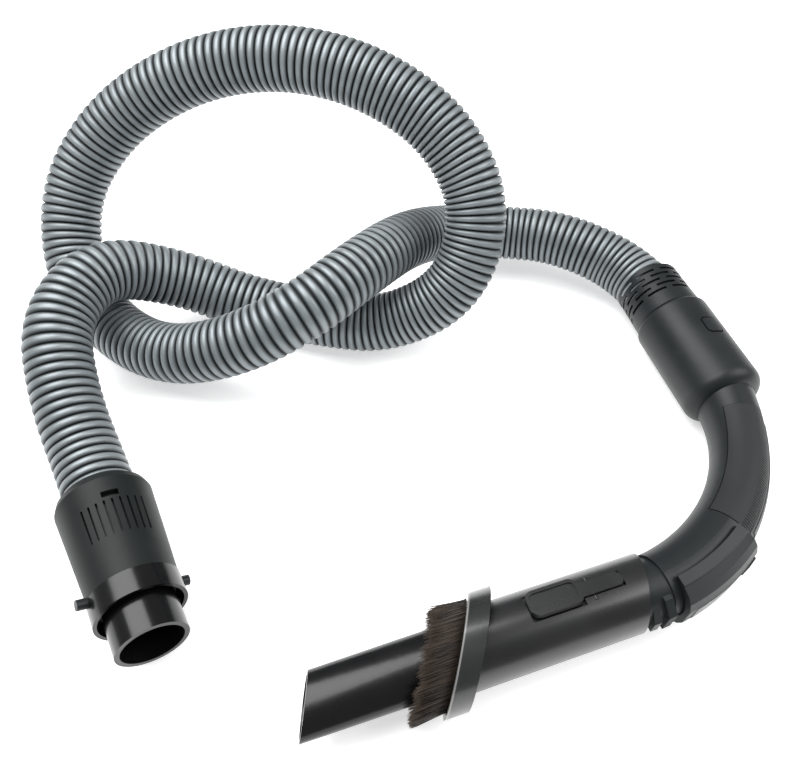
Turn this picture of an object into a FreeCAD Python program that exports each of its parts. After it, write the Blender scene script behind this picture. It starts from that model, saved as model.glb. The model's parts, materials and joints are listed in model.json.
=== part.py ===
import FreeCAD, Part
import math
import os
import Sketcher

# Vacuum cleaner hose assembly lying on a table, in millimetres.
# A corrugated hose, loosely knotted, joins a curved handle to a machine-end connector.
# The handle's outlet tube carries a crevice tool with a sliding dusting brush.
# The table is z = 0. The tool points along -X and the handle opens towards +Y.

V = FreeCAD.Vector

CELLS = [
    # place of the handle's tube axis and of its bend, measured from the part's origin
    ("axis_x", 65.4), ("axis_y", -88.0), ("axis_height", 26.0),
    ("bend_x", 2.0), ("bend_radius", 121.0), ("bend_turn", 86.0),
    # outlet tube and elbow
    ("tube_outer", 32.0), ("tube_bore", 27.6), ("tube_start", -40.0), ("tube_end", 16.0),
    ("grip_half", 17.0), ("skin", 1.2), ("proud", 0.3), ("trim_gap", 0.35),
    ("keyway_width", 5.4), ("keyway_depth", 0.8),
    # bulb that holds the turning end of the hose
    ("bulb_outer", 50.0), ("bulb_bore", 40.6), ("bulb_deep", 12.0), ("bulb_length", 53.0),
    ("bulb_low", -21.0), ("bulb_round", 9.0), ("bulb_top_round", 3.0), ("cuff_root", 46.0),
    ("core_outer", 40.5), ("core_bore", 33.0), ("core_end", 60.0),
    ("cuff_outer", 44.8), ("cuff_length", 34.6), ("cuff_gap", 0.4),
    ("ring_place", 30.0), ("ring_width", 2.0),
    # hose
    ("hose_outer", 40.0), ("hose_bore", 33.0), ("hose_fit", 0.05),
    # sides of the grip
    ("inlay_inner", 110.5), ("inlay_outer", 127.6), ("rib_outer", 133.4), ("spine_inner", 134.0),
    ("inlay_from", 30.6), ("inlay_to", 69.5), ("spine_from", 33.0), ("spine_to", 66.0),
    ("spine_half", 9.0),
    # hose release tab on the bulb
    ("tab_place", 24.5), ("tab_length", 12.0), ("tab_width", 11.0), ("tab_thick", 2.2),
    ("tab_tilt", 14.5), ("tab_gap", 0.9), ("tab_corner", 2.6),
    # suction regulator on the outside of the bend
    ("slide_outer", 141.6), ("slide_from", 7.2), ("slide_to", 29.6), ("slide_gap", 0.8),
    ("comb_from", 2.6), ("comb_to", 4.6), ("stop_from", -0.2), ("stop_to", 1.4),
    ("vent_from", 8.6), ("vent_to", 11.8), ("vent_half", 6.0),
    # crevice tool
    ("sleeve_outer", 38.4), ("sleeve_bore", 32.1), ("sleeve_front", -87.0), ("sleeve_back", 2.9),
    ("sleeve_skew", 18.3), ("sleeve_stop", -42.0), ("plug_back", -66.0), ("skew", 30.0),
    ("nozzle_width", 32.0), ("nozzle_height", 22.0), ("tip_width", 30.4), ("tip_height", 19.0),
    ("nozzle_wall", 1.8), ("nozzle_tip", -174.5),
    ("latch_tilt", 13.0), ("latch_pivot", -26.0), ("pad_length", 28.0), ("pad_width", 14.0),
    ("arm_width", 8.0), ("pad_corner", 4.6), ("arm_corner", 3.4), ("latch_floor", 16.9), ("latch_gap", 0.35),
    # dusting brush
    ("brush_outer", 52.0), ("brush_bore", 47.0), ("brush_back", -85.7), ("brush_front", -98.0),
    ("hub_thick", 3.0), ("ring_tilt", 4.6), ("bristle_inner", 39.4), ("bristle_outer", 46.6),
    ("bristle_tip", -116.0),
    # machine-end connector
    ("conn_x", -193.6), ("conn_y", 64.5), ("conn_height", 26.4), ("conn_angle", -78.5),
    ("conn_roll", -17.0), ("pin_roll", -28.0),
    ("shell_outer", 52.8), ("shell_end_outer", 46.4), ("shell_start", 8.0), ("shell_length", 72.0),
    ("nut_outer", 44.1), ("lip_bore", 41.4), ("nut_end", 44.0), ("groove_from", 29.0), ("groove_to", 50.0),
    ("groove_floor", 23.3), ("groove_width", 1.1), ("groove_step", 9.25), ("window_place", 25.4),
    ("spigot_outer", 37.2), ("spigot_root", 36.4), ("spigot_bore", 32.0), ("spigot_step", 86.0),
    ("spigot_length", 103.5), ("collar_outer", 47.6), ("collar_bore", 43.6), ("collar_end", 85.0),
    ("pin_radius", 2.8), ("pin_reach", 29.0), ("pin_place", 72.6),
]

doc = FreeCAD.newDocument("hose_assembly")
sheet = doc.addObject("Spreadsheet::Sheet", "Sizes")
for row, (name, number) in enumerate(CELLS, start=1):
    sheet.set("A%d" % row, str(number))
    sheet.setAlias("A%d" % row, name)
doc.recompute()


class Size:
    """A length that knows its number and the sheet expression it comes from."""

    def __init__(self, number, text):
        self.number = float(number)
        self.text = text

    def _join(self, other, sign, swap=False):
        if not isinstance(other, Size):
            other = Size(other, repr(other))
        a, b = (other, self) if swap else (self, other)
        results = {"+": a.number + b.number, "-": a.number - b.number, "*": a.number * b.number}
        number = results[sign] if sign in results else a.number / b.number
        return Size(number, "(%s %s %s)" % (a.text, sign, b.text))

    def __add__(self, other):
        return self._join(other, "+")

    def __radd__(self, other):
        return self._join(other, "+", swap=True)

    def __sub__(self, other):
        return self._join(other, "-")

    def __rsub__(self, other):
        return self._join(other, "-", swap=True)

    def __mul__(self, other):
        return self._join(other, "*")

    def __rmul__(self, other):
        return self._join(other, "*", swap=True)

    def __truediv__(self, other):
        return self._join(other, "/")


def size(name):
    """The sheet cell with this alias, as a Size."""
    return Size(sheet.get(name), "Sizes." + name)


def as_size(value):
    """A Size for a plain number, or the Size itself."""
    return value if isinstance(value, Size) else Size(value, repr(float(value)))


def bind(item, **values):
    """Bind properties of a document object to sheet expressions."""
    for prop, value in values.items():
        item.setExpression(prop, as_size(value).text)


# ---------------------------------------------------------------- places

HANDLE = FreeCAD.Placement(
    V(size("axis_x").number, size("axis_y").number, size("axis_height").number), FreeCAD.Rotation())
CONNECTOR = FreeCAD.Placement(
    V(size("conn_x").number, size("conn_y").number, size("conn_height").number),
    FreeCAD.Rotation(V(0, 0, 1), size("conn_angle").number))
BEND = V(size("bend_x").number, size("bend_radius").number, 0)
BEND_RADIUS = size("bend_radius").number


def on_bend(angle, radius=BEND_RADIUS, height=0.0):
    """A point at an angle round the handle's bend, from the tube's axis towards the hose."""
    turn = math.radians(angle)
    return BEND + V(radius * math.sin(turn), -radius * math.cos(turn), height)


def leg(distance=0.0):
    """The frame of the straight leg that the hose leaves by: +X runs out along the leg."""
    turn = size("bend_turn").number
    along = V(math.cos(math.radians(turn)), math.sin(math.radians(turn)), 0)
    return FreeCAD.Placement(on_bend(turn) + along * distance, FreeCAD.Rotation(V(0, 0, 1), turn))


# ---------------------------------------------------------------- solids

TO_X = FreeCAD.Rotation(V(0, 1, 0), 90)


def rod(name, diameter, start, end, end_diameter=None, turn=None, place=None):
    """A cylinder, or a cone, from start to end along +X, or along the +X of another place."""
    diameter, start, end = as_size(diameter), as_size(start), as_size(end)
    if end_diameter is None:
        item = doc.addObject("Part::Cylinder", name)
        bind(item, Radius=diameter / 2, Height=end - start)
        if turn is not None:
            bind(item, Angle=turn)
    else:
        item = doc.addObject("Part::Cone", name)
        bind(item, Radius1=diameter / 2, Radius2=as_size(end_diameter) / 2, Height=end - start)
    item.Placement = FreeCAD.Placement(V(start.number, 0, 0), TO_X)
    if place is None:
        item.setExpression("Placement.Base.x", start.text)
    else:
        item.Placement = place.multiply(item.Placement)
    return item


def box(name, low, high, place=None):
    """A box between two corners given as three sizes each, turned about the origin by place."""
    low, high = [as_size(c) for c in low], [as_size(c) for c in high]
    item = doc.addObject("Part::Box", name)
    bind(item, Length=high[0] - low[0], Width=high[1] - low[1], Height=high[2] - low[2])
    corner = FreeCAD.Placement(V(*[c.number for c in low]), FreeCAD.Rotation())
    item.Placement = place.multiply(corner) if place else corner
    return item


def join(name, shapes):
    """Shapes fused into one."""
    if len(shapes) == 1:
        return shapes[0]
    item = doc.addObject("Part::MultiFuse", name)
    item.Shapes = shapes
    return item


def cut(name, base, tools):
    """A base shape with tools taken away."""
    item = doc.addObject("Part::Cut", name)
    item.Base = base
    item.Tool = join(name + "_tools", tools)
    return item


def common(name, base, tool):
    """What two shapes share."""
    item = doc.addObject("Part::Common", name)
    item.Base = base
    item.Tool = tool
    return item


def finish(item, label, place=None):
    """Give a finished sub-part its label and its place in the part."""
    if place is not None:
        item.Placement = place.multiply(item.Placement)
    item.Label = label
    SUBPARTS.append(item)
    return item


SUBPARTS = []


def plane(body, role):
    """One of a body's own origin planes."""
    return next(part for part in body.Origin.OriginFeatures if part.Role == role)


def outline(body, name, role, points):
    """A closed outline of straight lines, every corner held by two sheet dimensions."""
    sketch = body.newObject("Sketcher::SketchObject", name)
    sketch.AttachmentSupport = [(plane(body, role), "")]
    sketch.MapMode = "FlatFace"
    corners = [(as_size(a), as_size(b)) for a, b in points]
    count = len(corners)
    for number, (a, b) in enumerate(corners):
        c, d = corners[(number + 1) % count]
        sketch.addGeometry(Part.LineSegment(V(a.number, b.number, 0), V(c.number, d.number, 0)), False)
    for number in range(count):
        sketch.addConstraint(Sketcher.Constraint("Coincident", number, 2, (number + 1) % count, 1))
    for number, (a, b) in enumerate(corners):
        for kind, value in (("DistanceX", a), ("DistanceY", b)):
            index = sketch.addConstraint(Sketcher.Constraint(kind, -1, 1, number, 1, value.number))
            sketch.setExpression("Constraints[%d]" % index, value.text)
    return sketch


def turned_sector(name, points, from_angle, to_angle):
    """An outline of (radius, height) pairs swept round the handle's bend between two angles."""
    from_angle, to_angle = as_size(from_angle), as_size(to_angle)
    body = doc.addObject("PartDesign::Body", name)
    sketch = outline(body, name + "_outline", "XZ_Plane", points)
    turn = body.newObject("PartDesign::Revolution", name + "_turn")
    turn.Profile = sketch
    turn.ReferenceAxis = (sketch, ["V_Axis"])
    bind(turn, Angle=to_angle - from_angle)
    body.Placement = FreeCAD.Placement(BEND, FreeCAD.Rotation(V(0, 0, 1), from_angle.number - 90))
    return body


# ---------------------------------------------------------------- handle

# The grip's outside and its airway: (angle round the bend, half width, half height) of each oval.
GRIP = [(5.2, 17.0, 17.0), (16, 17.0, 17.0), (33, 16.6, 17.0), (46, 16.1, 17.2), (58, 16.0, 17.6),
        (68, 16.6, 18.4), (76, 17.6, 19.4), (82, 18.2, 19.8)]
PASSAGE = [(5.0, 13.4, 13.4), (33, 13.3, 13.6), (58, 13.0, 14.0), (76, 14.6, 15.2)]


def oval(name, place, half_width, half_height):
    """An ellipse across the airway: its long axis upright, its plane square to +X of place."""
    item = doc.addObject("Part::Ellipse", name)
    item.MajorRadius = max(half_height, half_width)
    item.MinorRadius = half_width
    upright = FreeCAD.Rotation(V(0, 0, 1), V(0, 1, 0), V(-1, 0, 0), "ZXY")
    item.Placement = place.multiply(FreeCAD.Placement(V(0, 0, 0), upright))
    return item


def bend_frame(angle):
    """The frame at an angle round the bend: +X runs along the airway."""
    return FreeCAD.Placement(on_bend(angle), FreeCAD.Rotation(V(0, 0, 1), angle))


def elbow_loft(name, stations, ends, spare=0.0):
    """A loft through ovals round the bend and on along the hose leg."""
    sections = []
    for number, (angle, half_width, half_height) in enumerate(stations):
        sections.append(oval("%s_oval_%d" % (name, number), bend_frame(angle),
                             half_width + spare, half_height + spare))
    for number, (distance, radius) in enumerate(ends):
        sections.append(oval("%s_end_%d" % (name, number), leg(distance), radius + spare, radius + spare))
    item = doc.addObject("Part::Loft", name)
    item.Sections = sections
    item.Solid = True
    return item


def rounded(name, base, rounds):
    """A solid with round edges rounded off: rounds holds a point beside each edge's centre, and a radius."""
    doc.recompute()
    edges = []
    for point, radius in rounds:
        circles = [(edge.CenterOfMass - point).Length for edge in base.Shape.Edges]
        for number, edge in enumerate(base.Shape.Edges):
            if circles[number] < 0.01 and edge.isClosed():
                edges.append((number + 1, radius, radius))
    item = doc.addObject("Part::Fillet", name)
    item.Base = base
    item.Edges = edges
    return item


def pill(name, low, high, corner, place=None):
    """A box whose four upright edges are rounded."""
    base = box(name + "_box", low, high, place or FreeCAD.Placement())
    doc.recompute()
    upright = base.Placement.Rotation.multVec(V(0, 0, 1))
    item = doc.addObject("Part::Fillet", name)
    item.Base = base
    item.Edges = [(number + 1, corner, corner) for number, edge in enumerate(base.Shape.Edges)
                  if edge.tangentAt(edge.FirstParameter).cross(upright).Length < 1e-6]
    return item


def grip_solid(name, spare):
    """The outside of the grip and bulb, grown by a spare thickness."""
    grip = elbow_loft(name + "_bend", GRIP, [], spare)
    low, top = size("bulb_low"), size("bulb_length")
    barrel = rod(name + "_barrel", size("bulb_outer") + spare * 2, low, top, place=leg())
    bulb = rounded(name + "_bulb", barrel, [(leg(low.number).Base, size("bulb_round").number),
                                            (leg(top.number).Base, size("bulb_top_round").number)])
    return join(name, [grip, bulb])


def skin_piece(name, inner, outer, low, high, from_angle, to_angle, gap=0.0):
    """A piece of the grip's skin, proud of it by a little and let into it, or with gap its pocket."""
    turn = math.degrees(gap / BEND_RADIUS)
    sector = turned_sector(name + "_sector",
                           [(inner - gap, low - gap), (outer + gap, low - gap),
                            (outer + gap, high + gap), (inner - gap, high + gap)],
                           from_angle - turn, to_angle + turn)
    layer = cut(name + "_layer", elbow_loft(name + "_skin", GRIP, [], size("proud").number),
                [elbow_loft(name + "_under", GRIP, [], -size("skin").number - gap * 0.3)])
    return common(name, layer, sector)


def release_window(name, spare, top):
    """The block that the release tab fills, or with spare its window through the bulb's wall."""
    half_length, half_width = size("tab_length") / 2 + spare, size("tab_width") / 2 + spare
    place = leg(size("tab_place").number).multiply(
        FreeCAD.Placement(V(0, 0, 0), FreeCAD.Rotation(V(1, 0, 0), size("tab_tilt").number)))
    corner = size("tab_corner").number + (spare if isinstance(spare, (int, float)) else spare.number)
    return pill(name, (half_length * -1, half_width * -1, 12), (half_length, half_width, top),
                corner, place)


def handle_elbow():
    """The curved, hollow handle: outlet tube, grip and bulb in one moulding."""
    tube = rod("outlet_tube", size("tube_outer"), size("tube_start"), size("tube_end"))
    outside = join("elbow_outside", [tube, grip_solid("elbow_grip", 0.0)])
    tube_bore = rod("outlet_bore", size("tube_bore"), size("tube_start") - 1, size("tube_end"))
    passage = elbow_loft("elbow_passage", PASSAGE, [(0, 15.5), (size("bulb_deep").number + 0.5, 15.5)])
    bulb_bore = rod("bulb_bore", size("bulb_bore"), size("bulb_deep"), size("bulb_length") + 1,
                    place=leg())
    groove = rod("ring_groove", size("bulb_bore") + 2.2, size("ring_place"),
                 size("ring_place") + size("ring_width"), place=leg())
    half = size("keyway_width") / 2
    keyway = box("keyway", (size("tube_start") - 1, half * -1,
                            size("tube_outer") / 2 - size("keyway_depth")), (-9, half, 20), LATCH_TURN)
    vent_half = size("vent_half")
    vent = turned_sector("regulator_vent", [(128, vent_half * -1), (146, vent_half * -1),
                                            (146, vent_half), (128, vent_half)],
                         size("vent_from"), size("vent_to"))
    window = release_window("release_opening", size("tab_gap"), 30)
    hollows = [tube_bore, passage, bulb_bore, groove, keyway, vent, window]
    gap = size("trim_gap").number
    pockets = [skin_piece(name, *region, gap=gap) for name, region in SKIN_POCKETS.items()]
    return finish(cut("elbow_hollowed", outside, hollows + pockets), "handle_elbow", HANDLE)


SKIN_PIECES = {
    "grip_inlay_top": (size("inlay_inner"), size("inlay_outer"), 0.5, 24,
                       size("inlay_from"), size("inlay_to")),
    "grip_inlay_underside": (size("inlay_inner"), size("inlay_outer"), -24, -0.5,
                             size("inlay_from"), size("inlay_to")),
    "grip_rib_strip_top": (size("inlay_outer"), size("rib_outer"), 2, 24,
                           size("inlay_from"), size("inlay_to")),
    "grip_rib_strip_underside": (size("inlay_outer"), size("rib_outer"), -24, -2,
                                 size("inlay_from"), size("inlay_to")),
    "spine_cover": (size("spine_inner"), 152, size("spine_half") * -1, size("spine_half"),
                    size("spine_from"), size("spine_to")),
}
SKIN_POCKETS = {
    "pocket_top": (size("inlay_inner"), size("rib_outer"), 0.5, 24,
                   size("inlay_from"), size("inlay_to")),
    "pocket_underside": (size("inlay_inner"), size("rib_outer"), -24, -0.5,
                         size("inlay_from"), size("inlay_to")),
    "pocket_spine": SKIN_PIECES["spine_cover"],
}
LATCH_TURN = FreeCAD.Placement(V(0, 0, 0), FreeCAD.Rotation(V(1, 0, 0), -size("latch_tilt").number))


def grip_trim():
    """Soft inlays, ribbed strips and the spine cover, let into the grip."""
    for name, region in SKIN_PIECES.items():
        finish(skin_piece(name, *region), name, HANDLE)


def swivel_ring():
    """Split ring in the bulb that keeps the hose end in while it turns."""
    start = size("ring_place")
    ring = cut("swivel_ring", rod("ring_outside", size("bulb_bore") + 2.2, start,
                                  start + size("ring_width")),
               [rod("ring_inside", size("core_outer") - 1.9, start - 1, start + 4),
                box("ring_split", (start - 1, -2, 0), (start + 4, 2, 30))])
    finish(ring, "swivel_ring", HANDLE.multiply(leg()))


def release_tab():
    """Press tab in the bulb that frees the hose end, with its leaf spring."""
    top = size("bulb_outer") / 2 + 0.25
    block = release_window("release_block", 0, 30)
    ring = cut("release_band", rod("release_outer", top * 2, 0, 50),
               [rod("release_inner", (top - size("tab_thick")) * 2, -1, 51)])
    ring.Placement = leg()
    finish(common("hose_release_tab", block, ring), "hose_release_tab", HANDLE)
    place = HANDLE.multiply(leg(size("tab_place").number)).multiply(
        FreeCAD.Placement(V(0, 0, 0), FreeCAD.Rotation(V(1, 0, 0), size("tab_tilt").number)))
    low = top - size("tab_thick") - 0.65
    leaf = box("release_spring", (-5, -1.5, low), (5, 1.5, low + 0.35))
    finish(leaf, "release_spring", place)


# ---------------------------------------------------------------- suction regulator

def round_tube(name, diameter):
    """The full ring that the grip's round section would make, to shape pieces that lie on it."""
    ring = doc.addObject("Part::Torus", name)
    bind(ring, Radius1=size("bend_radius"), Radius2=as_size(diameter) / 2)
    ring.Placement = FreeCAD.Placement(BEND, FreeCAD.Rotation())
    return ring


def regulator():
    """Curved slider over an air vent, its light panel and thumb end, the comb and the end stop."""
    outer = size("slide_outer")
    start, end = size("slide_from"), size("slide_to")
    profile = [(126, 19.4), (131.4, 18.4), (132.2, 17.4), (136.4, 15.4), (139.6, 11.6), (outer, 6.4),
               (outer, -6.4), (139.6, -11.6), (136.4, -15.4), (132, -18), (126, -19.4)]
    saddle = turned_sector("slider_saddle", profile, start, end)
    panel_from, panel_to = start + 2.2, end - 4.4
    hollow = round_tube("slider_hollow", size("grip_half") * 2 + size("slide_gap") * 2)
    slider = cut("regulator_slider", saddle,
                 [hollow, turned_sector("panel_pocket", [(140.4, 6.2), (146, 6.2), (146, -6.2),
                                                         (140.4, -6.2)], panel_from, panel_to),
                  turned_sector("thumb_pocket", [(140.4, 6.2), (146, 6.2), (146, -6.2), (140.4, -6.2)],
                                end - 4.0, end - 0.6)])
    finish(slider, "regulator_slider", HANDLE)
    plate = [(140.4, 6.2), (outer + 0.3, 6.2), (outer + 0.3, -6.2), (140.4, -6.2)]
    finish(turned_sector("regulator_panel", plate, panel_from, panel_to), "regulator_panel", HANDLE)
    ridges = []
    for number in range(4):
        angle = end - 3.9 + number * 0.8
        ridges.append(turned_sector("thumb_ridge_%d" % number,
                                    [(140.8, 6.0), (outer + 1.1, 5.2), (outer + 1.1, -5.2), (140.8, -6.0)],
                                    angle, angle + 0.45))
    pad = turned_sector("thumb_base", [(140.4, 6.2), (141.2, 6.2), (141.2, -6.2), (140.4, -6.2)],
                        end - 4.0, end - 0.6)
    finish(join("regulator_thumb_end", [pad] + ridges), "regulator_thumb_end", HANDLE)
    tube = rod("comb_seat", size("tube_outer"), -20, 20)
    rail = turned_sector("comb_rail", [(128, 13), (133, 13), (140.2, 7), (140.2, -7), (130, -7)],
                         size("comb_from"), size("comb_to"))
    teeth = [turned_sector("comb_slot_%d" % number,
                           [(138, height), (146, height), (146, height + 1.1), (138, height + 1.1)],
                           size("comb_from") - 1, size("comb_to") + 1)
             for number, height in enumerate([-5.6 + 2.2 * step for step in range(6)])]
    comb = cut("regulator_comb", rail, [tube] + teeth)
    finish(comb, "regulator_comb", HANDLE)
    wedge = turned_sector("stop_block", [(130, 9.5), (134, 9.5), (139.6, 3), (139.6, -6), (130, -6)],
                          size("stop_from"), size("stop_to"))
    finish(cut("regulator_stop", wedge, [rod("stop_seat", size("tube_outer"), -20, 20)]),
           "regulator_stop", HANDLE)


# ---------------------------------------------------------------- crevice tool

def slanted(name, x, thickness=90.0, skew="skew", tilt=0.0):
    """A slab whose back face crosses the tube's axis at x, slanted like the brush and the mouth."""
    turn = FreeCAD.Rotation(V(0, 0, 1), -size(skew).number).multiply(FreeCAD.Rotation(V(0, 1, 0), tilt))
    place = FreeCAD.Placement(V(as_size(x).number, 0, 0), turn)
    return box(name, (-thickness, -80, -60), (0, 80, 60), place)


def latch_axis():
    """The frame of the latch's axle: +X runs along the axle."""
    return FreeCAD.Placement(V(size("latch_pivot").number, 0, 18.0), FreeCAD.Rotation(V(0, 0, 1), 90))


def latch_pocket():
    """The recess in the sleeve that the latch rocks in."""
    gap, pivot = size("latch_gap"), size("latch_pivot")
    pad_start = pivot - 6 - size("pad_length")
    pad_half, arm_half = size("pad_width") / 2 + gap, size("arm_width") / 2 + gap
    pad = box("latch_pad_pocket", (pad_start - gap, pad_half * -1, size("latch_floor")),
              (pivot - 6 + gap, pad_half, 24), LATCH_TURN)
    arm = box("latch_arm_pocket", (pivot - 8, arm_half * -1, size("latch_floor")),
              (pivot + 17 + gap, arm_half, 24), LATCH_TURN)
    tooth = box("latch_tooth_way", (pivot + 10.5, -2.9, 10), (pivot + 15.5, 2.9, 24), LATCH_TURN)
    axle = rod("latch_axle_hole", 1.6, -6.5, 6.5, place=LATCH_TURN.multiply(latch_axis()))
    return [pad, arm, tooth, axle]


def tool_sleeve():
    """The round sleeve that pushes over the outlet tube."""
    body = rod("sleeve_body", size("sleeve_outer"), size("sleeve_front") - 18, size("sleeve_back") + 12)
    bore = rod("sleeve_tube_bore", size("sleeve_bore"), size("sleeve_stop"), size("sleeve_back") + 13)
    through = rod("sleeve_through", size("tube_bore"), size("plug_back") - 5, size("sleeve_stop") + 1)
    socket = rod("sleeve_socket", size("sleeve_bore") + 0.3, size("sleeve_front") - 20,
                 size("plug_back"))
    front = slanted("sleeve_front_cut", size("sleeve_front"))
    rear = slanted("sleeve_rear_plane", size("sleeve_back"), 200.0, skew="sleeve_skew")
    sleeve = cut("tool_sleeve", common("sleeve_cut_back", body, rear),
                 [bore, through, socket, front] + latch_pocket())
    finish(sleeve, "tool_sleeve", HANDLE)


def tool_latch():
    """The rocking latch: a dished pad, an arm and the tooth that drops into the tube's keyway."""
    pivot = size("latch_pivot")
    pad_start, pad_end = pivot - 6 - size("pad_length"), pivot - 6
    pad_half, arm_half = size("pad_width") / 2, size("arm_width") / 2
    corner = size("pad_corner").number
    pad = pill("latch_pad", (pad_start, pad_half * -1, 18.9), (pad_end, pad_half, 21.6), corner)
    dish = pill("latch_dish", (pad_start + 2, pad_half * -1 + 1.8, 20.8), (pad_end - 2, pad_half - 1.8, 23),
                corner - 1.8)
    arm = box("latch_arm", (pad_end - 1, arm_half * -1, 17.4), (pivot + 12, arm_half, 20.0))
    arm_end = pill("latch_arm_end", (pivot + 5, arm_half * -1, 17.4), (pivot + 17, arm_half, 20.0),
                   size("arm_corner").number)
    tooth = box("latch_tooth", (pivot + 11, -2.4, size("tube_outer") / 2 - 0.5), (pivot + 15, 2.4, 18))
    hole = rod("latch_axle_bore", 1.7, -8, 8, place=latch_axis())
    neck = box("latch_spring_room", (pivot - 2.2, -1.6, 17), (pivot + 2.2, 1.6, 18.9))
    latch = cut("tool_latch", join("latch_solid", [pad, arm, arm_end, tooth]), [dish, hole, neck])
    finish(latch, "tool_latch", HANDLE.multiply(LATCH_TURN))
    finish(rod("latch_axle", 1.6, -6.5, 6.5, place=latch_axis()), "latch_axle",
           HANDLE.multiply(LATCH_TURN))


def crevice_nozzle():
    """The flattened nozzle, its root plugged into the sleeve and its mouth cut on the slant."""
    sections, hollows = [], []
    stations = [(size("sleeve_front") - 0.0, size("nozzle_width"), size("nozzle_height")),
                (size("nozzle_tip") - 16, size("tip_width"), size("tip_height"))]
    wall = size("nozzle_wall").number
    for number, (x, width, height) in enumerate(stations):
        for group, less in ((sections, 0.0), (hollows, wall)):
            item = doc.addObject("Part::Ellipse", "nozzle_oval_%d_%d" % (number, len(sections)))
            bind(item, MajorRadius=width / 2 - less, MinorRadius=height / 2 - less)
            item.Placement = FreeCAD.Placement(
                V(x.number + (0.01 if less and number == 0 else 0), 0, 0),
                FreeCAD.Rotation(V(0, 1, 0), V(0, 0, 1), V(1, 0, 0), "ZXY"))
            group.append(item)
    outside = doc.addObject("Part::Loft", "nozzle_outside")
    outside.Sections, outside.Solid = sections, True
    hollow = doc.addObject("Part::Loft", "nozzle_hollow")
    hollow.Sections, hollow.Solid = hollows, True
    plug = rod("nozzle_plug", size("sleeve_bore"), size("sleeve_front") - 0.5, size("plug_back") - 0.1)
    plug_bore = rod("nozzle_plug_bore", size("tube_bore"), size("sleeve_front") + 3,
                    size("plug_back") + 1)
    throat = rod("nozzle_throat", size("nozzle_height") - size("nozzle_wall") * 2,
                 size("sleeve_front") - 1, size("sleeve_front") + 4, end_diameter=size("tube_bore"))
    tilt = FreeCAD.Rotation(V(0, 0, 1), -20).multiply(FreeCAD.Rotation(V(0, 1, 0), 11))
    mouth = box("nozzle_mouth_cut", (-60, -60, -60), (0, 60, 60),
                FreeCAD.Placement(V(size("nozzle_tip").number, 0, 0), tilt))
    nozzle = cut("crevice_nozzle", join("nozzle_solid", [outside, plug]),
                 [hollow, plug_bore, throat, mouth])
    finish(nozzle, "crevice_nozzle", HANDLE)


def dusting_brush():
    """The slanted brush ring that slides along the nozzle, and its ring of bristles."""
    back, front = size("brush_back"), size("brush_front")
    hub_back = size("sleeve_front") - 1.0
    hub_front = hub_back - size("hub_thick")
    slab = common("brush_slab", rod("brush_round", size("brush_outer"), front - 40, back + 40),
                  slanted("brush_back_plane", back, tilt=size("ring_tilt").number))
    behind = common("brush_behind", rod("brush_rear_bore", size("brush_bore"), front - 60, back + 60),
                    cut("brush_behind_slab", box("brush_behind_space", (-200, -80, -60), (0, 80, 60)),
                        [slanted("brush_hub_plane", hub_back, 300.0)]))
    before = common("brush_before", rod("brush_front_bore", size("brush_bore"), front - 60, back + 60),
                    slanted("brush_hub_front_plane", hub_front, 300.0))
    passage = doc.addObject("Part::Ellipse", "brush_passage_oval")
    bind(passage, MajorRadius=size("nozzle_width") / 2 + 0.4, MinorRadius=size("nozzle_height") / 2 + 0.4)
    passage.Placement = FreeCAD.Placement(
        V(front.number - 60, 0, 0), FreeCAD.Rotation(V(0, 1, 0), V(0, 0, 1), V(1, 0, 0), "ZXY"))
    way = doc.addObject("Part::Extrusion", "brush_passage")
    way.Base, way.DirMode, way.Dir, way.Solid = passage, "Custom", V(1, 0, 0), True
    way.LengthFwd = 130
    ahead = slanted("brush_front_plane", front, 300.0, tilt=size("ring_tilt").number)
    plug_way = rod("brush_plug_way", size("sleeve_bore") + 0.8, front - 60, back + 60)
    ring = cut("brush_ring", slab, [behind, before, way, ahead, plug_way])
    finish(ring, "brush_ring", HANDLE)
    tuft = cut("bristle_tube", rod("bristle_round", size("bristle_outer"), front - 60, back + 20),
               [rod("bristle_hollow", size("bristle_inner"), front - 61, back + 21),
                slanted("bristle_tips", size("bristle_tip"), 300.0)])
    bristles = common("brush_bristles", tuft, slanted("bristle_roots", hub_front, 120.0))
    finish(bristles, "brush_bristles", HANDLE)


# ---------------------------------------------------------------- hose ends

def hose_cuff():
    """The slotted bend protector on the hose, and the turning core that it grips."""
    start = size("bulb_length") + size("cuff_gap")
    end = start + size("cuff_length")
    outside = join("cuff_outside", [
        rod("cuff_barrel", size("cuff_root"), start, end - 10, end_diameter=size("cuff_outer")),
        rod("cuff_end", size("cuff_outer"), end - 10, end)])
    fit = size("hose_outer") + size("hose_fit") * 2
    bore = rod("cuff_bore", fit, size("core_end") - 0.01, end + 1)
    flare = rod("cuff_flare", fit, end - 9, end + 1, end_diameter=fit + 2.0)
    core_room = rod("cuff_core_room", size("core_outer"), start - 1, size("core_end"))
    slots = []
    for line in range(5):
        place = end - 5.4 - line * 4.6
        for part in range(8):
            slot = rod("cuff_slot_%d_%d" % (line, part), 60, place, place + 1.9, turn=34)
            slot.Placement = FreeCAD.Placement(slot.Placement.Base, FreeCAD.Rotation(
                V(1, 0, 0), 45 * part + 22.5 * (line % 2)).multiply(TO_X))
            slots.append(slot)
    finish(cut("hose_cuff", outside, [bore, flare, core_room] + slots), "hose_cuff", HANDLE.multiply(leg()))
    groove_start = size("ring_place") - 0.2
    groove_end = size("ring_place") + size("ring_width") + 0.2
    groove = cut("core_groove", rod("core_groove_round", 60, groove_start, groove_end),
                 [rod("core_groove_floor", size("core_outer") - 2.4, groove_start - 1, groove_end + 1)])
    core = cut("hose_cuff_core", rod("core_round", size("core_outer"), size("bulb_deep") + 0.5,
                                     size("core_end")),
               [rod("core_bore", size("core_bore"), 0, 80), groove])
    finish(core, "hose_cuff_core", HANDLE.multiply(leg()))


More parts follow.
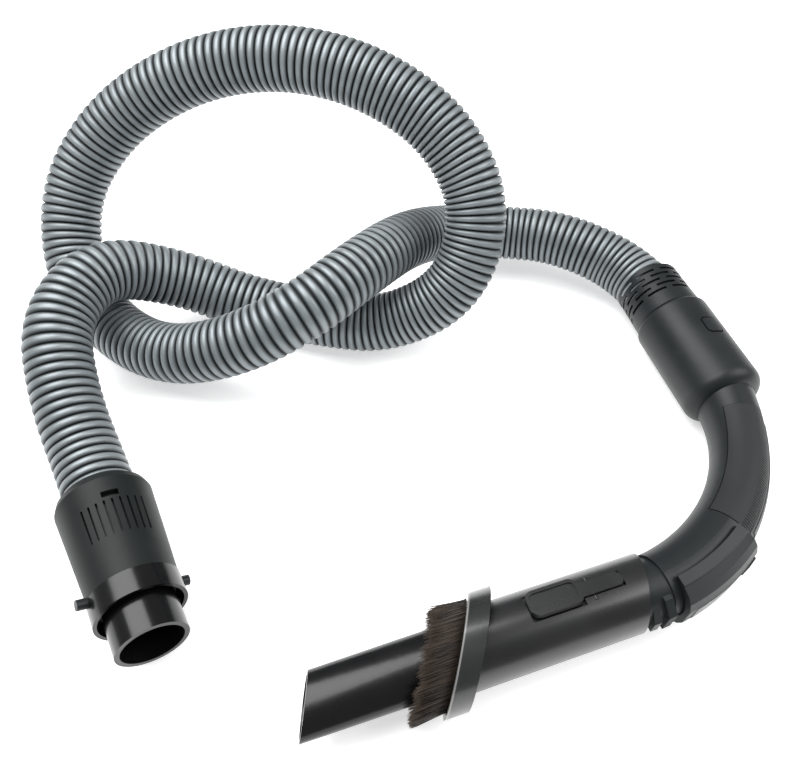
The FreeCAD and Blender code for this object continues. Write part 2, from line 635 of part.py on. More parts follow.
def connector():
    """The machine-end connector: grip shell, turning hose nut, collar, pins, spigot and seal."""
    start, length = size("shell_start"), size("shell_length")
    nose, shoulder = start + 2.4, start + 6.5
    shell = join("shell_outside", [
        rod("shell_nose", size("shell_outer") - 7.4, start, nose, end_diameter=size("shell_outer") - 3.0),
        rod("shell_shoulder", size("shell_outer") - 3.0, nose, shoulder,
            end_diameter=size("shell_outer")),
        rod("shell_barrel", size("shell_outer"), shoulder, length,
            end_diameter=size("shell_end_outer"))])
    bores = [rod("shell_lip_bore", size("lip_bore"), start - 1, start + 7),
             rod("shell_nut_bore", size("nut_outer") + 0.1, start + 4.5, size("nut_end") + 0.4),
             rod("shell_spigot_bore", size("spigot_root"), size("nut_end") + 0.2, length + 1)]
    half = size("groove_width") / 2
    grooves = []
    for number in range(9):
        groove = box("grip_groove_%d" % number, (size("groove_from"), half * -1, size("groove_floor")),
                     (size("groove_to"), half, 30))
        groove.Placement = FreeCAD.Placement(V(0, 0, 0), FreeCAD.Rotation(
            V(1, 0, 0), size("groove_step").number * (number - 4))).multiply(groove.Placement)
        grooves.append(groove)
    window = box("snap_window", (size("window_place") - 1.8, -4.5, 20),
                 (size("window_place") + 1.8, 4.5, 30))
    shell_cut = cut("connector_shell", shell, bores + grooves + [window])
    roll = FreeCAD.Placement(V(0, 0, 0), FreeCAD.Rotation(V(1, 0, 0), size("conn_roll").number))
    finish(shell_cut, "connector_shell", CONNECTOR.multiply(roll))

    nut = cut("hose_nut", rod("nut_round", size("nut_outer"), start + 10, size("nut_end")),
              [rod("nut_hose_bore", size("hose_outer") + size("hose_fit") * 2, start + 9, start + 30),
               rod("nut_bore", size("hose_bore"), start + 29, size("nut_end") + 1)])
    finish(nut, "hose_nut", CONNECTOR)
    keeper = cut("nut_keeper_ring", rod("keeper_round", size("nut_outer") + 0.1, start + 7.2, start + 9.6),
                 [rod("keeper_bore", size("lip_bore"), start + 6, start + 11),
                  box("keeper_split", (start + 6, -2, -30), (start + 11, 2, 0))])
    finish(keeper, "nut_keeper_ring", CONNECTOR)

    spigot = cut("spigot", join("spigot_outside", [
        rod("spigot_root_tube", size("spigot_root"), size("nut_end") + 4, size("spigot_step") + 1),
        rod("spigot_tube", size("spigot_outer"), size("spigot_step"), size("spigot_length")),
        rod("spigot_flange", size("collar_bore"), length, length + 3)]),
        [rod("spigot_bore", size("spigot_bore"), 0, size("spigot_length") + 1)])
    finish(spigot, "spigot", CONNECTOR)
    collar = cut("lock_collar", rod("collar_round", size("collar_outer"), length, size("collar_end")),
                 [rod("collar_bore", size("collar_bore"), length - 1, size("collar_end") + 1)])
    finish(collar, "lock_collar", CONNECTOR)
    seal = cut("spigot_seal", rod("seal_round", size("spigot_root") + 3.4, length + 3, length + 6),
               [rod("seal_bore", size("spigot_root"), length, length + 9)])
    finish(seal, "spigot_seal", CONNECTOR)
    pins = []
    for side in (1, -1):
        pin = doc.addObject("Part::Cylinder", "bayonet_pin_%d" % len(pins))
        bind(pin, Radius=size("pin_radius"),
             Height=size("pin_reach") - size("collar_outer") / 2 + 0.2)
        low = size("collar_outer").number / 2 - 0.2
        pin.Placement = FreeCAD.Placement(V(0, 0, 0), FreeCAD.Rotation(V(1, 0, 0), -side * 90)).multiply(
            FreeCAD.Placement(V(size("pin_place").number, 0, low), FreeCAD.Rotation()))
        pins.append(pin)
    ring_space = rod("pin_inner_space", size("collar_outer"), 40, 100)
    pin_set = cut("pins_outside_collar", join("pins_joined", pins), [ring_space])
    pin_roll = FreeCAD.Placement(V(0, 0, 0), FreeCAD.Rotation(V(1, 0, 0), size("pin_roll").number))
    finish(pin_set, "bayonet_pins", CONNECTOR.multiply(pin_roll))


# ---------------------------------------------------------------- hose

# The hose's route between its two ends, chosen by hand: a loose overhand knot.
ROUTE = [
    (157, 174, 33), (117, 203, 27), (73, 209, 34), (32, 182, 58), (-9, 150, 70),
    (-52, 128, 65), (-97, 129, 46), (-145, 152, 26), (-181, 200, 20), (-197, 246, 40),
    (-184, 282, 78), (-148, 296, 112), (-104, 292, 138), (-58, 276, 155), (-13, 251, 161),
    (29, 220, 153), (62, 187, 131), (75, 153, 95), (53, 130, 49), (5, 139, 21),
    (-39, 162, 20), (-83, 190, 22), (-126, 211, 42), (-171, 205, 70), (-202, 166, 67),
    (-204, 119, 45),
]


def hose_points():
    """The route with its two ends added: inside the cuff and inside the connector's nut."""
    cuff = HANDLE.multiply(leg(size("core_end").number)).Base
    cuff_out = HANDLE.multiply(leg(size("core_end").number + 42)).Base
    nut = CONNECTOR.multVec(V(size("shell_start").number + 30, 0, 0))
    nut_out = CONNECTOR.multVec(V(size("shell_start").number - 12, 0, 0))
    return [cuff, cuff_out] + [V(*point) for point in ROUTE] + [nut_out, nut]


def rounded_path(points):
    """Straight runs joined by tangent arcs, each as large as its two runs allow."""
    edges, radii, last = [], [], points[0]
    for before, corner, after in zip(points, points[1:], points[2:]):
        back, ahead = (before - corner), (after - corner)
        shorter = min(back.Length, ahead.Length)
        back.normalize()
        ahead.normalize()
        half_turn = (math.pi - back.getAngle(ahead)) / 2
        reach = 0.45 * shorter
        radii.append(reach / math.tan(half_turn))
        start, end = corner + back * reach, corner + ahead * reach
        middle_way = (back + ahead)
        middle_way.normalize()
        rise = radii[-1] / math.cos(half_turn) - radii[-1]
        edges.append(Part.LineSegment(last, start).toShape())
        edges.append(Part.Arc(start, corner + middle_way * rise, end).toShape())
        last = end
    edges.append(Part.LineSegment(last, points[-1]).toShape())
    return Part.Wire(edges), radii


def tube_along(wire, outer, bore):
    """A hollow tube along a path: the ring section extruded on each run, revolved on each arc."""
    pieces = []
    for edge in wire.Edges:
        start = edge.valueAt(edge.FirstParameter)
        toward = edge.tangentAt(edge.FirstParameter)
        discs = [Part.Face(Part.Wire(Part.Circle(start, toward, radius).toShape()))
                 for radius in (outer, bore)]
        ring = discs[0].cut(discs[1]).Faces[0]
        if isinstance(edge.Curve, Part.Line):
            pieces.append(ring.extrude(toward * edge.Length))
        else:
            centre, radius = edge.Curve.Center, edge.Curve.Radius
            axis = (start - centre).cross(toward)
            pieces.append(ring.revolve(centre, axis, math.degrees(edge.Length / radius)))
    return pieces[0].multiFuse(pieces[1:]).removeSplitter()


def hose():
    """The hose as a plain tube along its route; a swept section along straight runs and arcs."""
    wire, radii = rounded_path(hose_points())
    print("bend radii of the hose, mm:", " ".join("%.0f" % radius for radius in radii))
    print("hose length, mm: %.1f" % wire.Length)
    shape = tube_along(wire, size("hose_outer").number / 2, size("hose_bore").number / 2)
    section = math.pi / 4 * (size("hose_outer").number ** 2 - size("hose_bore").number ** 2)
    print("hose volume / (section x length): %.4f" % (shape.Volume / (section * wire.Length)))
    item = doc.addObject("Part::Feature", "hose_tube")
    item.Shape = shape
    finish(item, "hose_tube")


# ---------------------------------------------------------------- build and write

handle_elbow()
grip_trim()
swivel_ring()
release_tab()
regulator()
tool_sleeve()
tool_latch()
crevice_nozzle()
dusting_brush()
hose_cuff()
connector()
hose()
doc.recompute()

faults = [item.Label for item in doc.Objects if {"Invalid", "Error"} & set(item.State)]
for item in SUBPARTS:
    shape = item.Shape
    if shape.isNull() or not shape.isValid() or not shape.Solids:
        faults.append(item.Label)
if faults:
    raise RuntimeError("failed objects: " + ", ".join(faults))

os.makedirs("parts", exist_ok=True)
for item in SUBPARTS:
    item.Shape.exportStep("parts/%s.step" % item.Label)
    bounds = item.Shape.BoundBox
    print("%-26s %2d solids %9.0f mm3  x %7.1f %7.1f  y %7.1f %7.1f  z %6.1f %6.1f" % (
        item.Label, len(item.Shape.Solids), item.Shape.Volume, bounds.XMin, bounds.XMax,
        bounds.YMin, bounds.YMax, bounds.ZMin, bounds.ZMax))
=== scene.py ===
"""Looks of a vacuum cleaner hose assembly: knotted corrugated hose, curved handle, tool and connector."""
import json
import math

import bpy
import numpy as np
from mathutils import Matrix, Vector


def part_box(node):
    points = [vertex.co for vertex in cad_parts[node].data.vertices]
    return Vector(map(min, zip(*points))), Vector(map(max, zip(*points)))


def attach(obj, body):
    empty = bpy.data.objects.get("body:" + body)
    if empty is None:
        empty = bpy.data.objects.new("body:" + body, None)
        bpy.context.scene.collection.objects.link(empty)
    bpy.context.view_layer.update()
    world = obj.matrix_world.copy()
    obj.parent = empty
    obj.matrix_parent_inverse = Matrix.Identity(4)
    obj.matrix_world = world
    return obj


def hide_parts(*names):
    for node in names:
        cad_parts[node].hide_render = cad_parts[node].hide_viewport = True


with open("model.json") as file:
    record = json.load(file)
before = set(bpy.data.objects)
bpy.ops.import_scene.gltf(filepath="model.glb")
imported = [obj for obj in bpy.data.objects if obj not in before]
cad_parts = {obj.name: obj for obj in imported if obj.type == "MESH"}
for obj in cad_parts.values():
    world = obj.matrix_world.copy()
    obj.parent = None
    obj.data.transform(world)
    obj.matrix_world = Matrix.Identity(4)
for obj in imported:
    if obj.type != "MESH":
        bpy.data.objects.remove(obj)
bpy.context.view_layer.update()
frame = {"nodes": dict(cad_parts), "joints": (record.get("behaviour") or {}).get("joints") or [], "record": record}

NODES = frame["nodes"]
JOINTS = {joint["name"]: joint for joint in frame["joints"]}
MM = 0.001
UP = np.array([0.0, 0.0, 1.0])

# The handle's leg and the bend's centre, as the joints give them.
BEND = np.array(JOINTS["regulator_slide"]["pos_m"])
LEG_ALONG = np.array(JOINTS["handle_swivel"]["axis"])
LEG_ALONG /= np.linalg.norm(LEG_ALONG)
BEND_RADIUS = 121 * MM
AXIS_HEIGHT = BEND[2]
TOOL_AXIS = np.array([BEND[0] - 2 * MM, BEND[1] - BEND_RADIUS, AXIS_HEIGHT])
# The brush ring's front: its place on the tool's axis, and its slopes across and up.
BRUSH_FRONT = 98.0 * MM
BRUSH_SKEW = math.tan(math.radians(30.0))
BRUSH_TILT = math.tan(math.radians(4.6))
RIB_STEP = 0.72
MARK_ANGLES = (12.4, 21.6)
MARK_HALF = 0.22


# ---------------------------------------------------------------- camera and hose route

def camera():
    """A long look down from the tool's side, 51 degrees below level."""
    data = bpy.data.cameras.new("camera")
    data.sensor_fit = "HORIZONTAL"
    data.sensor_width = 36.0
    data.lens = 31.74
    item = bpy.data.objects.new("camera", data)
    bpy.context.scene.collection.objects.link(item)
    item.location = (-0.0950, -0.1864, 0.3765)
    item.rotation_euler = (math.radians(39.0), 0.0, math.radians(-18.155))
    bpy.context.scene.camera = item


# The hose's route, from inside the cuff through a loose overhand knot to inside the connector.
ROUTE = [
    (0.1923, 0.0844, 0.0260), (0.1952, 0.1263, 0.0260),
    (0.157, 0.174, 0.033), (0.117, 0.203, 0.027), (0.073, 0.209, 0.034), (0.032, 0.182, 0.058),
    (-0.009, 0.150, 0.070), (-0.052, 0.128, 0.065), (-0.097, 0.129, 0.046), (-0.145, 0.152, 0.026),
    (-0.181, 0.200, 0.020), (-0.197, 0.246, 0.040), (-0.184, 0.282, 0.078), (-0.148, 0.296, 0.112),
    (-0.104, 0.292, 0.138), (-0.058, 0.276, 0.155), (-0.013, 0.251, 0.161), (0.029, 0.220, 0.153),
    (0.062, 0.187, 0.131), (0.075, 0.153, 0.095), (0.053, 0.130, 0.049), (0.005, 0.139, 0.021),
    (-0.039, 0.162, 0.020), (-0.083, 0.190, 0.022), (-0.126, 0.211, 0.042), (-0.171, 0.205, 0.070),
    (-0.202, 0.166, 0.067), (-0.204, 0.119, 0.045),
    (-0.1944, 0.0684, 0.0264), (-0.1860, 0.0273, 0.0264),
]
HOSE_RADIUS = 20.0 * MM
RIDGE_DEPTH = 2.6 * MM
# The hose is squeezed shorter in places: the pitch of its ridges at fractions of its length.
PITCH_PLACES = (0.0, 0.14, 0.24, 0.50, 0.58, 0.72, 0.80, 1.0)
PITCHES = np.array([5.2, 5.2, 5.9, 6.0, 4.7, 4.7, 6.0, 6.0]) * MM


def spline_line(name, points):
    """The smooth line that a quadratic spline draws from a route's points, as a dense row of points."""
    data = bpy.data.curves.new(name, "CURVE")
    data.dimensions = "3D"
    data.resolution_u = 24
    spline = data.splines.new("NURBS")
    spline.points.add(len(points) - 1)
    for point, place in zip(spline.points, points):
        point.co = (*place, 1.0)
    spline.order_u = 3
    spline.use_endpoint_u = True
    item = bpy.data.objects.new(name, data)
    bpy.context.scene.collection.objects.link(item)
    bpy.context.view_layer.update()
    mesh = bpy.data.meshes.new_from_object(item)
    line = np.empty(len(mesh.vertices) * 3)
    mesh.vertices.foreach_get("co", line)
    bpy.data.objects.remove(item)
    return line.reshape(-1, 3)


def along(line, distances):
    """Points at given distances along a line, between its own points in proportion."""
    steps = np.linalg.norm(np.diff(line, axis=0), axis=1)
    travelled = np.concatenate([[0.0], np.cumsum(steps)])
    return np.stack([np.interp(distances, travelled, line[:, k]) for k in range(3)], axis=1)


def length_of(line):
    """The sum of a line's steps."""
    return float(np.linalg.norm(np.diff(line, axis=0), axis=1).sum())


def carried_frames(line):
    """Two unit vectors square to the line at each point, carried along it without twist.

    Each point's side vector is the last one less its part along the new direction.
    """
    ahead = np.gradient(line, axis=0)
    ahead /= np.linalg.norm(ahead, axis=1)[:, None]
    sides = np.empty_like(line)
    side = np.cross(ahead[0], UP)
    for number, direction in enumerate(ahead):
        side = side - direction * side.dot(direction)
        side = side / np.linalg.norm(side)
        sides[number] = side
    return ahead, sides, np.cross(ahead, sides)


# ---------------------------------------------------------------- mesh making

def grid_faces(rows, columns, close_columns):
    """Four-cornered faces of a grid of points, its last column joined to its first if asked."""
    last = columns if close_columns else columns - 1
    row, column = np.meshgrid(np.arange(rows - 1), np.arange(last), indexing="ij")
    after = (column + 1) % columns
    corners = [row * columns + column, row * columns + after,
               (row + 1) * columns + after, (row + 1) * columns + column]
    return np.stack(corners, axis=-1).reshape(-1, 4)


def ring_tube(name, line, radii, around, turns):
    """A closed tube: circles of the given radii square to the line, with a flat fan at each end.

    A point is line + radius * (cos a * side + sin a * other); u runs round, v is given per circle.
    """
    ahead, side, other = carried_frames(line)
    angle = np.linspace(0, 2 * math.pi, around, endpoint=False)
    spokes = (np.cos(angle)[None, :, None] * side[:, None, :]
              + np.sin(angle)[None, :, None] * other[:, None, :])
    vertices = (line[:, None, :] + spokes * radii[:, None, None]).reshape(-1, 3)
    faces = grid_faces(len(line), around, True)
    row, column = np.divmod(np.arange(len(faces)), around)
    u0, u1 = column / around, (column + 1) / around
    uvs = np.stack([np.stack([u0, turns[row]], 1), np.stack([u1, turns[row]], 1),
                    np.stack([u1, turns[row + 1]], 1), np.stack([u0, turns[row + 1]], 1)], axis=1)
    count = len(vertices)
    vertices = np.vstack([vertices, line[0], line[-1]])
    rim = np.arange(around)
    start_fan = np.stack([np.roll(rim, -1), rim, np.full(around, count)], axis=1)
    base = count - around
    end_fan = np.stack([base + rim, base + np.roll(rim, -1), np.full(around, count + 1)], axis=1)
    all_faces = faces.tolist() + start_fan.tolist() + end_fan.tolist()
    fan_uvs = np.zeros((2 * around * 3, 2))
    return vertices, all_faces, np.vstack([uvs.reshape(-1, 2), fan_uvs])


def mesh_piece(name, vertices, faces, uvs, smooth=True):
    """A mesh object from mixed faces, with its corner coordinates."""
    mesh = bpy.data.meshes.new(name)
    mesh.from_pydata(np.asarray(vertices).tolist(), [], faces)
    layer = mesh.uv_layers.new(name="UVMap")
    layer.data.foreach_set("uv", np.asarray(uvs, np.float32).ravel())
    mesh.polygons.foreach_set("use_smooth", np.full(len(mesh.polygons), smooth))
    mesh.update()
    item = bpy.data.objects.new(name, mesh)
    bpy.context.scene.collection.objects.link(item)
    return item


# ---------------------------------------------------------------- shader maths

class Wire:
    """A shader socket that adds Math nodes when it is used in an expression."""

    def __init__(self, paint, socket):
        self.paint = paint
        self.socket = socket

    def _maths(self, operation, first, second):
        return self.paint.node("ShaderNodeMath", {"operation": operation}, [first, second])

    def __add__(self, other):
        return self._maths("ADD", self, other)

    def __mul__(self, other):
        return self._maths("MULTIPLY", self, other)

    def __sub__(self, other):
        return self._maths("SUBTRACT", self, other)

    def __rsub__(self, other):
        return self._maths("SUBTRACT", other, self)

    def __truediv__(self, other):
        return self._maths("DIVIDE", self, other)

    def __lt__(self, other):
        return self._maths("LESS_THAN", self, other)


class Paint:
    """One material with a Principled shader, and the nodes that feed it."""

    def __init__(self, name, **settings):
        self.material = bpy.data.materials.new(name)
        self.material.use_nodes = True
        self.tree = self.material.node_tree
        self.shader = self.tree.nodes["Principled BSDF"]
        for socket, value in settings.items():
            self.shader.inputs[socket.replace("_", " ")].default_value = value

    def node(self, kind, settings=None, inputs=(), output=0):
        """A node: its settings first, then its inputs by place or name, and one of its outputs."""
        item = self.tree.nodes.new(kind)
        for key, value in (settings or {}).items():
            setattr(item, key, value)
        pairs = inputs.items() if isinstance(inputs, dict) else enumerate(inputs)
        for key, value in pairs:
            if isinstance(value, Wire):
                self.tree.links.new(value.socket, item.inputs[key])
            else:
                item.inputs[key].default_value = value
        return Wire(self, item.outputs[output])

    def place(self):
        """Where a point is on the part, in metres."""
        return self.node("ShaderNodeTexCoord", output="Object")

    def uv(self, part):
        """One coordinate of the piece's own map."""
        pair = self.node("ShaderNodeTexCoord", output="UV")
        return self.node("ShaderNodeSeparateXYZ", {}, [pair], output=part)

    def axis(self, part):
        """One coordinate of a point on the part, in metres."""
        return self.node("ShaderNodeSeparateXYZ", {}, [self.place()], output=part)

    def bend_angle(self):
        """The angle of a point round the handle's bend, in degrees from the outlet."""
        across = self.axis("X") - float(BEND[0])
        down = float(BEND[1]) - self.axis("Y")
        return self.maths("ARCTAN2", across, down) * (180 / math.pi)

    def noise(self, scale, detail=4.0, roughness=0.55):
        """Cloudy noise of a given scale, in cycles a metre."""
        return self.node("ShaderNodeTexNoise", {}, {
            "Vector": self.place(), "Scale": scale, "Detail": detail, "Roughness": roughness})

    def maths(self, operation, first, second=0.0):
        """One Math node."""
        return self.node("ShaderNodeMath", {"operation": operation}, [first, second])

    def between(self, value, low, high, to_low=0.0, to_high=1.0):
        """A value moved from one range to another and held inside it."""
        return self.node("ShaderNodeMapRange", {"clamp": True}, {
            "Value": value, "From Min": low, "From Max": high, "To Min": to_low, "To Max": to_high})

    def mix(self, factor, first, second):
        """A colour between two colours."""
        return self.node("ShaderNodeMix", {"data_type": "RGBA"}, {0: factor, 6: first, 7: second}, output=2)

    def feed(self, **sockets):
        """Link wires to the shader's own sockets."""
        for socket, wire in sockets.items():
            self.tree.links.new(wire.socket, self.shader.inputs[socket.replace("_", " ")])

    def bump(self, height, distance, strength=1.0):
        """Raise the surface by height times a distance in metres."""
        normal = self.node("ShaderNodeBump", {}, {"Height": height, "Distance": distance,
                                                  "Strength": strength})
        self.feed(Normal=normal)


def colour(red, green, blue):
    """A colour with full alpha."""
    return (red, green, blue, 1.0)


def moulded(name, base, worn, roughness, grain, grain_depth, **settings):
    """Moulded plastic: fine grain, a slow change of tone and a change of polish."""
    paint = Paint(name, **settings)
    slow = paint.noise(26.0, 3.0)
    fine = paint.noise(grain, 5.0, 0.6)
    polish = slow * 0.6 + fine * 0.4
    paint.feed(Base_Color=paint.mix(paint.between(slow, 0.35, 0.7), base, worn),
               Roughness=paint.between(polish, 0.3, 0.7, roughness - 0.05, roughness + 0.06))
    paint.bump(fine, grain_depth, 0.6)
    return paint.material


def ribbed_grip():
    """Soft grip strip with fine ribs across it, evenly spaced round the bend, with painted shade darkening the
    grooves between the ribs.
    """
    paint = Paint("ribbed_grip", Roughness=0.55, Specular_IOR_Level=0.35)
    phase = paint.maths("FRACT", paint.bend_angle() / RIB_STEP)
    ridge = paint.between(paint.maths("ABSOLUTE", phase * 2.0 - 1.0), 0.25, 0.8, 1.0, 0.0)
    # Painted shade: the grooves between the ribs get the darker colour and the rib crests the paler one.
    paint.feed(Base_Color=paint.mix(ridge, colour(0.005, 0.005, 0.006), colour(0.020, 0.022, 0.024)))
    paint.bump(ridge, 0.0005)
    return paint.material


def marked_panel():
    """Dark satin panel of the regulator with two paler marks across it."""
    paint = Paint("marked_panel", Roughness=0.34, Specular_IOR_Level=0.5)
    angle = paint.bend_angle()
    first, second = [paint.maths("ABSOLUTE", angle - place) < MARK_HALF for place in MARK_ANGLES]
    fine = paint.noise(2200.0, 4.0)
    ground = paint.mix(fine, colour(0.040, 0.042, 0.043), colour(0.055, 0.058, 0.059))
    paint.feed(Base_Color=paint.mix(first + second, ground, colour(0.22, 0.225, 0.225)))
    paint.bump(fine, 0.00003, 0.5)
    return paint.material


def brush_plastic():
    """Dark satin ring with a thin painted highlight along its slanted front edge."""
    paint = Paint("brush_plastic", Coat_Weight=0.3, Coat_Roughness=0.15)
    front = TOOL_AXIS[0] - BRUSH_FRONT - TOOL_AXIS[1] * BRUSH_SKEW
    slant = (paint.axis("X") - paint.axis("Y") * BRUSH_SKEW
             - (paint.axis("Z") - float(TOOL_AXIS[2])) * BRUSH_TILT)
    # rim masks a painted highlight: a thin pale band along the slanted front edge, where light would catch it.
    rim = paint.between(slant - float(front), 0.0009, 0.0014, 1.0, 0.0)
    slow = paint.noise(30.0, 3.0)
    ground = paint.mix(slow, colour(0.010, 0.011, 0.011), colour(0.015, 0.016, 0.016))
    # The pale colour mixed in by rim is the painted edge highlight.
    paint.feed(Base_Color=paint.mix(rim, ground, colour(0.19, 0.19, 0.185)),
               Roughness=paint.between(slow, 0.3, 0.7, 0.24, 0.31))
    return paint.material


def hose_plastic():
    """Silver-grey hose: satin ridges, with painted shade darkening the grooves between them, which are also
    duller.
    """
    paint = Paint("hose_grey", Metallic=0.35)
    phase = paint.maths("FRACT", paint.uv("Y"))
    side = paint.maths("ABSOLUTE", phase * 2.0 - 1.0)
    # groove masks the grooves: their dark colour is painted shade, and their higher roughness is real.
    groove = paint.between(side, 0.30, 0.86)
    slow = paint.noise(18.0, 3.0)
    fine = paint.noise(900.0, 4.0)
    ridge = paint.mix(paint.between(slow, 0.35, 0.7),
                      colour(0.195, 0.220, 0.232), colour(0.240, 0.266, 0.278))
    paint.feed(Base_Color=paint.mix(groove, ridge, colour(0.014, 0.018, 0.020)),
               Roughness=paint.between(groove * 0.6 + fine * 0.4, 0.15, 0.9, 0.42, 0.62))
    paint.bump(fine, 0.00010, 0.6)
    return paint.material


def bristle_hair():
    """Brown bristle: each hair its own tone, dark at the root and paler at the tip."""
    paint = Paint("brown_bristle", Roughness=0.62)
    tone = paint.uv("X")
    reach = paint.uv("Y")
    body = paint.mix(tone, colour(0.007, 0.005, 0.0035), colour(0.050, 0.033, 0.022))
    paint.feed(Base_Color=paint.mix(paint.between(reach, 0.6, 1.0), body, colour(0.060, 0.042, 0.030)))
    return paint.material


def floor_paint():
    """Plain pale floor."""
    paint = Paint("floor_white", Roughness=0.9, Emission_Color=colour(1, 1, 1), Emission_Strength=0.5)
    slow = paint.noise(1.5, 2.0)
    paint.feed(Base_Color=paint.mix(slow, colour(0.93, 0.93, 0.93), colour(0.95, 0.95, 0.95)))
    return paint.material


MATERIALS = {
    "hose_grey": hose_plastic(),
    "charcoal_plastic": moulded("charcoal_plastic", colour(0.0065, 0.0092, 0.0100),
                                colour(0.0095, 0.0125, 0.0134),
                                0.42, 2600.0, 0.00005, Specular_IOR_Level=0.3),
    "charcoal_rubber": moulded("charcoal_rubber", colour(0.0065, 0.0088, 0.0085),
                               colour(0.0095, 0.0122, 0.0118),
                               0.50, 1900.0, 0.00008, Specular_IOR_Level=0.22),
    "soft_grip": moulded("soft_grip", colour(0.0095, 0.0105, 0.0115), colour(0.0130, 0.0145, 0.0155),
                         0.58, 2200.0, 0.00010, Specular_IOR_Level=0.35),
    "satin_black": moulded("satin_black", colour(0.0050, 0.0052, 0.0056), colour(0.0080, 0.0082, 0.0086),
                           0.30, 1400.0, 0.00003, Coat_Weight=0.25, Coat_Roughness=0.22),
    "gloss_black": moulded("gloss_black", colour(0.0030, 0.0031, 0.0034), colour(0.0048, 0.0049, 0.0052),
                           0.22, 700.0, 0.00001, Coat_Weight=0.08, Coat_Roughness=0.10,
                            Specular_IOR_Level=0.3),
    "grey_plastic": moulded("grey_plastic", colour(0.095, 0.10, 0.10), colour(0.12, 0.125, 0.125),
                            0.40, 2600.0, 0.00004),
    "grained_black": moulded("grained_black", colour(0.0060, 0.0064, 0.0068), colour(0.0110, 0.0115, 0.0120),
                             0.34, 1000.0, 0.00022, Coat_Weight=0.15, Coat_Roughness=0.25),
    "ribbed_grip": ribbed_grip(),
    "marked_panel": marked_panel(),
    "brush_plastic": brush_plastic(),
    "brown_bristle": bristle_hair(),
    "spring_steel": moulded("spring_steel", colour(0.55, 0.55, 0.54), colour(0.62, 0.62, 0.61),
                            0.30, 1200.0, 0.00002, Metallic=1.0),
}
NODE_FINISH = {"brush_ring": "brush_plastic", "tool_latch": "grained_black", "latch_axle": "satin_black",
               "regulator_panel": "marked_panel",
               "grip_rib_strip_top": "ribbed_grip", "grip_rib_strip_underside": "ribbed_grip"}


def dress_nodes():
    """Give every CAD node the finish of its material slot."""
    slots = {entry["node"]: entry["material_slot"] for entry in frame["record"]["subparts"]}
    for name, item in NODES.items():
        paint = MATERIALS[NODE_FINISH.get(name, slots[name])]
        item.data.materials.clear()
        item.data.materials.append(paint)


def finish_piece(item, slot, body, *replaced):
    """Give a new piece its finish, its body and the CAD nodes it stands for."""
    item.data.materials.append(MATERIALS[slot])
    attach(item, body)
    if replaced:
        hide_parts(*replaced)
    return item


# ---------------------------------------------------------------- hose

def hose():
    """The corrugated hose: rounded ridges with narrow grooves between them, closer where it is squeezed.

    The radius is R - d + d * sqrt(1 - |2p - 1| ** 2.3), where p runs from 0 to 1 over each ridge.
    """
    line = spline_line("hose_line", ROUTE)
    total = length_of(line)
    travelled = np.linspace(0.0, total, 3000)
    pitch = np.interp(travelled / total, PITCH_PLACES, PITCHES)
    passed = np.concatenate([[0.0], np.cumsum(np.diff(travelled) / pitch[1:])])
    ridges = round(float(passed[-1]))
    steps = np.array([0.0, 0.045, 0.13, 0.26, 0.42, 0.58, 0.74, 0.87, 0.955])
    turns = np.concatenate([(np.arange(ridges)[:, None] + steps).ravel(), [ridges]])
    phase = np.mod(turns, 1.0)
    radii = HOSE_RADIUS - RIDGE_DEPTH + RIDGE_DEPTH * np.sqrt(
        np.maximum(0.0, 1 - np.abs(2 * phase - 1) ** 2.3))
    centres = along(line, np.interp(turns / ridges * passed[-1], passed, travelled))
    vertices, faces, uvs = ring_tube("hose", centres, radii, 38, turns)
    item = mesh_piece("hose", vertices, faces, uvs)
    finish_piece(item, "hose_grey", "hose", "hose_tube")


# ---------------------------------------------------------------- bristles

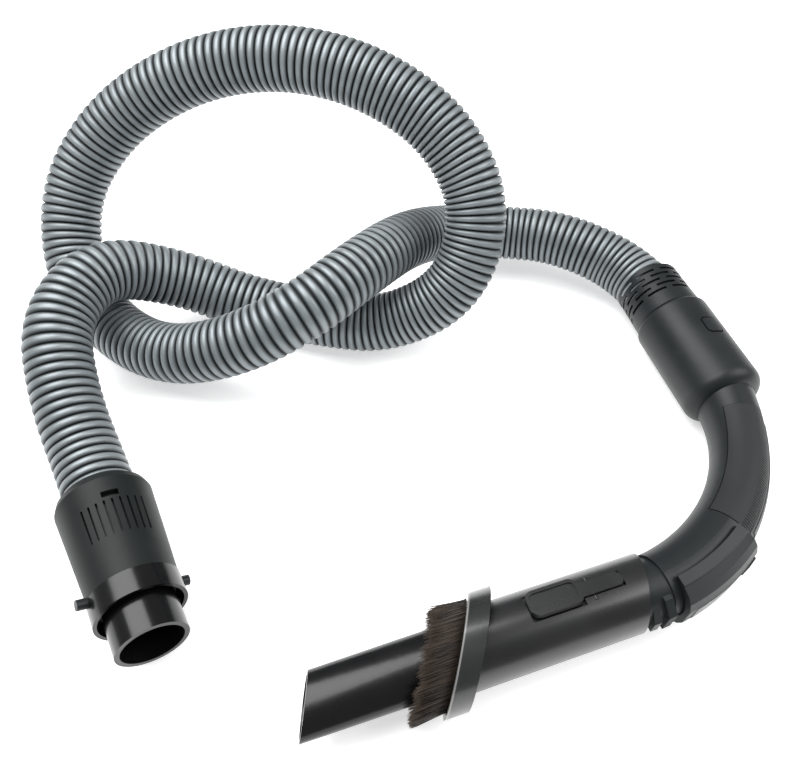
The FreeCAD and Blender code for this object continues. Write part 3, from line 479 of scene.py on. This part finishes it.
def bristles():
    """The dusting brush's bristles: thin tapered hairs in a slanted ring, ragged at their tips.

    A hair starts at the ring's front face, runs along -X and spreads outward a little. Each has its
    own length and lean, and both rise and fall round the ring as sin(17 a) + sin(41 a + 1.3).
    """
    random = np.random.default_rng(7)
    low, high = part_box("brush_bristles")
    count = 3600
    angle = random.uniform(0, 2 * math.pi, count)
    radius = np.sqrt(random.uniform(20.4 ** 2, 23.0 ** 2, count)) * MM
    y, z = radius * np.cos(angle), radius * np.sin(angle)
    root_x = TOOL_AXIS[0] - BRUSH_FRONT + 0.5 * MM + y * BRUSH_SKEW + z * BRUSH_TILT
    root = np.stack([root_x, TOOL_AXIS[1] + y, TOOL_AXIS[2] + z], axis=1)
    clump = np.sin(angle * 17) + np.sin(angle * 41 + 1.3)
    reach = (random.normal(17.6, 1.2, count) + 0.9 * clump) * MM
    reach = np.clip(reach, 13 * MM, 20.4 * MM)
    outward = np.stack([np.zeros(count), np.cos(angle), np.sin(angle)], axis=1)
    spread = random.normal(0.02, 0.03, count) + 0.02 * clump
    lean = outward * spread[:, None] + random.normal(0, 0.035, (count, 3))
    tip = root + (np.array([-1.0, 0, 0]) + lean) * reach[:, None]
    tip = np.clip(tip, np.array(low), np.array(high))
    stations = np.array([0.0, 0.5, 1.0])
    widths = np.array([0.24, 0.22, 0.08]) * MM
    corner = np.linspace(0, 2 * math.pi, 3, endpoint=False)
    centre = root[:, None, :] + (tip - root)[:, None, :] * stations[None, :, None]
    ring = np.stack([np.zeros(3), np.cos(corner), np.sin(corner)], axis=1)
    vertices = centre[:, :, None, :] + ring[None, None] * widths[None, :, None, None]
    vertices = vertices.reshape(-1, 3)
    walls = grid_faces(3, 3, True)[:, ::-1]
    caps = np.array([[0, 1, 2], [8, 7, 6]])
    base = (np.arange(count) * 9)[:, None, None]
    faces = (walls[None] + base).reshape(-1, 4).tolist() + (caps[None] + base).reshape(-1, 3).tolist()
    tone = random.uniform(0, 1, count)
    wall_reach = stations[walls // 3]
    wall_uvs = np.stack([np.broadcast_to(tone[:, None, None], (count, *walls.shape)),
                         np.broadcast_to(wall_reach[None], (count, *walls.shape))], axis=-1)
    cap_reach = stations[caps // 3]
    cap_uvs = np.stack([np.broadcast_to(tone[:, None, None], (count, *caps.shape)),
                        np.broadcast_to(cap_reach[None], (count, *caps.shape))], axis=-1)
    item = mesh_piece("bristles", vertices, faces,
                      np.vstack([wall_uvs.reshape(-1, 2), cap_uvs.reshape(-1, 2)]))
    finish_piece(item, "brown_bristle", "brush", "brush_bristles")


# ---------------------------------------------------------------- stage

def stage():
    """White floor, broad soft light from above and from the sides, shown without a film curve."""
    bpy.context.scene.view_settings.view_transform = "Standard"
    size = 6.0
    floor = mesh_piece("floor", [(-size, -size, 0), (size, -size, 0), (size, size, 0), (-size, size, 0)],
                      [[0, 1, 2, 3]], [(0, 0), (1, 0), (1, 1), (0, 1)], smooth=False)
    floor.data.materials.append(floor_paint())
    world = bpy.data.worlds.new("studio")
    bpy.context.scene.world = world
    world.use_nodes = True
    world.node_tree.nodes["Background"].inputs[0].default_value = (1, 1, 1, 1)
    world.node_tree.nodes["Background"].inputs[1].default_value = 0.36
    for name, place, width, power in (("key", (-0.45, 0.55, 1.4), 1.3, 38.0),
                                      ("fill", (1.1, -0.3, 1.2), 1.0, 16.0)):
        data = bpy.data.lights.new(name, "AREA")
        data.size = width
        data.energy = power
        lamp = bpy.data.objects.new(name, data)
        bpy.context.scene.collection.objects.link(lamp)
        lamp.location = place
        aim = np.array([0.0, 0.1, 0.03]) - np.array(place)
        lamp.rotation_euler = (math.atan2(math.hypot(aim[0], aim[1]), -aim[2]), 0,
                               math.atan2(aim[1], aim[0]) - math.pi / 2)


camera()
hose()
bristles()
dress_nodes()
stage()
